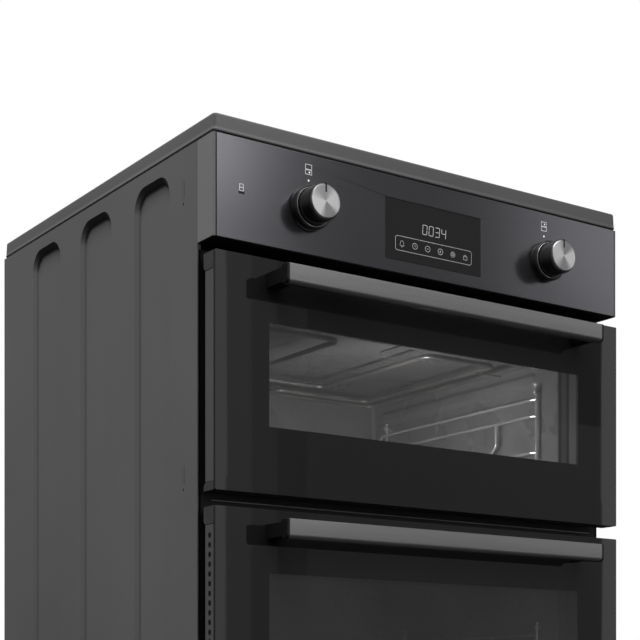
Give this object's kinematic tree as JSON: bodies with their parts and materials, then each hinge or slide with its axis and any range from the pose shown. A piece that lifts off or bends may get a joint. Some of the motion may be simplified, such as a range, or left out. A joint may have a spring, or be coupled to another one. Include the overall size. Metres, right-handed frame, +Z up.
{
  "type": "free-standing double oven cooker",
  "caption": "Free-standing cooker with a glass hob, a fascia with selector knobs and a clock, a drop-down grill oven door and a drop-down main oven door.",
  "frame": {"origin": "on the floor, under the middle of the whole object, handles included", "axes": "+Z up, +X to the right as seen from the front, the doors and the fascia face -Y"},
  "size_m": [0.6, 0.646, 0.9],
  "materials": {
    "side_finish": "satin anthracite enamel",
    "galvanised": "zinc-coated sheet",
    "plinth_finish": "satin black",
    "black_enamel": "semi-gloss black enamel",
    "hob_trim": "satin metallic grey",
    "hob_glass": "polished black glass ceramic",
    "element_steel": "bright steel",
    "fascia_side": "satin grey",
    "fascia_front": "satin dark metallic",
    "display_glass": "smoked touch glass",
    "circuit_board": "green board",
    "black_gloss": "gloss black",
    "switch_body": "cream moulding",
    "knob_metal": "spun aluminium face on a gloss black body",
    "cavity_enamel": "speckled grey vitreous enamel",
    "insulation": "mineral wool",
    "element_tube": "oxidised sheathed element",
    "fan_enamel": "grey enamel",
    "fan_steel": "plain steel",
    "chrome_wire": "bright chrome wire",
    "lamp_glass": "clear lamp cover",
    "seal_rubber": "matt black",
    "door_glass": "black-printed glass with a clear window",
    "inner_glass": "clear heat-reflecting glass",
    "door_frame": "satin dark grey",
    "handle_metal": "satin dark anodised",
    "black_matte": "matt black",
    "hinge_steel": "zinc-plated steel",
    "foot_plastic": "matt black"
  },
  "bodies": {
    "cabinet": {"side_panel_left": "side_finish", "side_panel_right": "side_finish", "rear_panel": "galvanised", "base_tray": "galvanised", "blower_housing": "galvanised", "plinth": "plinth_finish", "front_frame": "black_enamel", "hob_frame": "hob_trim", "hob_glass": "hob_glass", "element_tray": "element_steel", "fascia_housing": "fascia_side", "fascia_panel": "fascia_front", "display_glass": "display_glass", "control_board": "circuit_board", "knob_bezel_left": "black_gloss", "knob_bezel_right": "black_gloss", "selector_switch_left": "switch_body", "selector_switch_right": "switch_body", "top_cavity": "cavity_enamel", "main_cavity": "cavity_enamel", "insulation": "insulation", "grill_element": "element_tube", "ring_element": "element_tube", "fan_cover": "fan_enamel", "fan_motor": "fan_steel", "top_rack_left": "chrome_wire", "top_rack_right": "chrome_wire", "main_rack_left": "chrome_wire", "main_rack_right": "chrome_wire", "top_lamp": "lamp_glass", "main_lamp": "lamp_glass", "top_door_seal": "seal_rubber", "main_door_seal": "seal_rubber", "terminal_box": "black_matte", "top_hinge_left": "hinge_steel", "top_hinge_right": "hinge_steel", "main_hinge_left": "hinge_steel", "main_hinge_right": "hinge_steel", "foot_front_left": "foot_plastic", "foot_front_right": "foot_plastic", "foot_rear_left": "foot_plastic", "foot_rear_right": "foot_plastic"},
    "top_door": {"top_door_glass": "door_glass", "top_door_inner_glass": "inner_glass", "top_door_frame": "door_frame", "top_handle_bar": "handle_metal", "top_handle_end_left": "black_matte", "top_handle_end_right": "black_matte"},
    "main_door": {"main_door_glass": "door_glass", "main_door_inner_glass": "inner_glass", "main_door_frame": "door_frame", "main_handle_bar": "handle_metal", "main_handle_end_left": "black_matte", "main_handle_end_right": "black_matte"},
    "knob_left": {"knob_left": "knob_metal"},
    "knob_right": {"knob_right": "knob_metal"},
    "fan_rotor": {"fan_rotor": "fan_steel"},
    "blower_rotor": {"blower_rotor": "fan_steel"},
    "top_shelf": {"top_shelf": "chrome_wire"},
    "main_shelf": {"main_shelf": "chrome_wire"}
  },
  "joints": [
    {"name": "top_door_hinge", "type": "hinge", "parent": "cabinet", "child": "top_door", "pos_m": [0, -0.261, 0.5027], "axis": [1, 0, 0], "range_deg": [0, 90], "stiffness_Nm_per_rad": 2, "springref_deg": -57.3},
    {"name": "main_door_hinge", "type": "hinge", "parent": "cabinet", "child": "main_door", "pos_m": [0, -0.261, 0.1017], "axis": [1, 0, 0], "range_deg": [0, 90], "stiffness_Nm_per_rad": 2.5, "springref_deg": -57.3},
    {"name": "left_knob_turn", "type": "hinge", "parent": "cabinet", "child": "knob_left", "pos_m": [-0.177, -0.277, 0.8166], "axis": [0, 1, 0], "range_deg": [0, 270]},
    {"name": "right_knob_turn", "type": "hinge", "parent": "cabinet", "child": "knob_right", "pos_m": [0.177, -0.277, 0.8166], "axis": [0, 1, 0], "range_deg": [0, 270]},
    {"name": "fan_spin", "type": "hinge", "parent": "cabinet", "child": "fan_rotor", "pos_m": [0, 0.141, 0.2847], "axis": [0, 1, 0], "continuous": true},
    {"name": "blower_spin", "type": "hinge", "parent": "cabinet", "child": "blower_rotor", "pos_m": [0, -0.087, 0.7807], "axis": [1, 0, 0], "continuous": true},
    {"name": "top_shelf_slide", "type": "slide", "parent": "cabinet", "child": "top_shelf", "axis": [0, -1, 0], "range_m": [0, 0.075]},
    {"name": "main_shelf_slide", "type": "slide", "parent": "cabinet", "child": "main_shelf", "axis": [0, -1, 0], "range_m": [0, 0.04]}
  ]
}
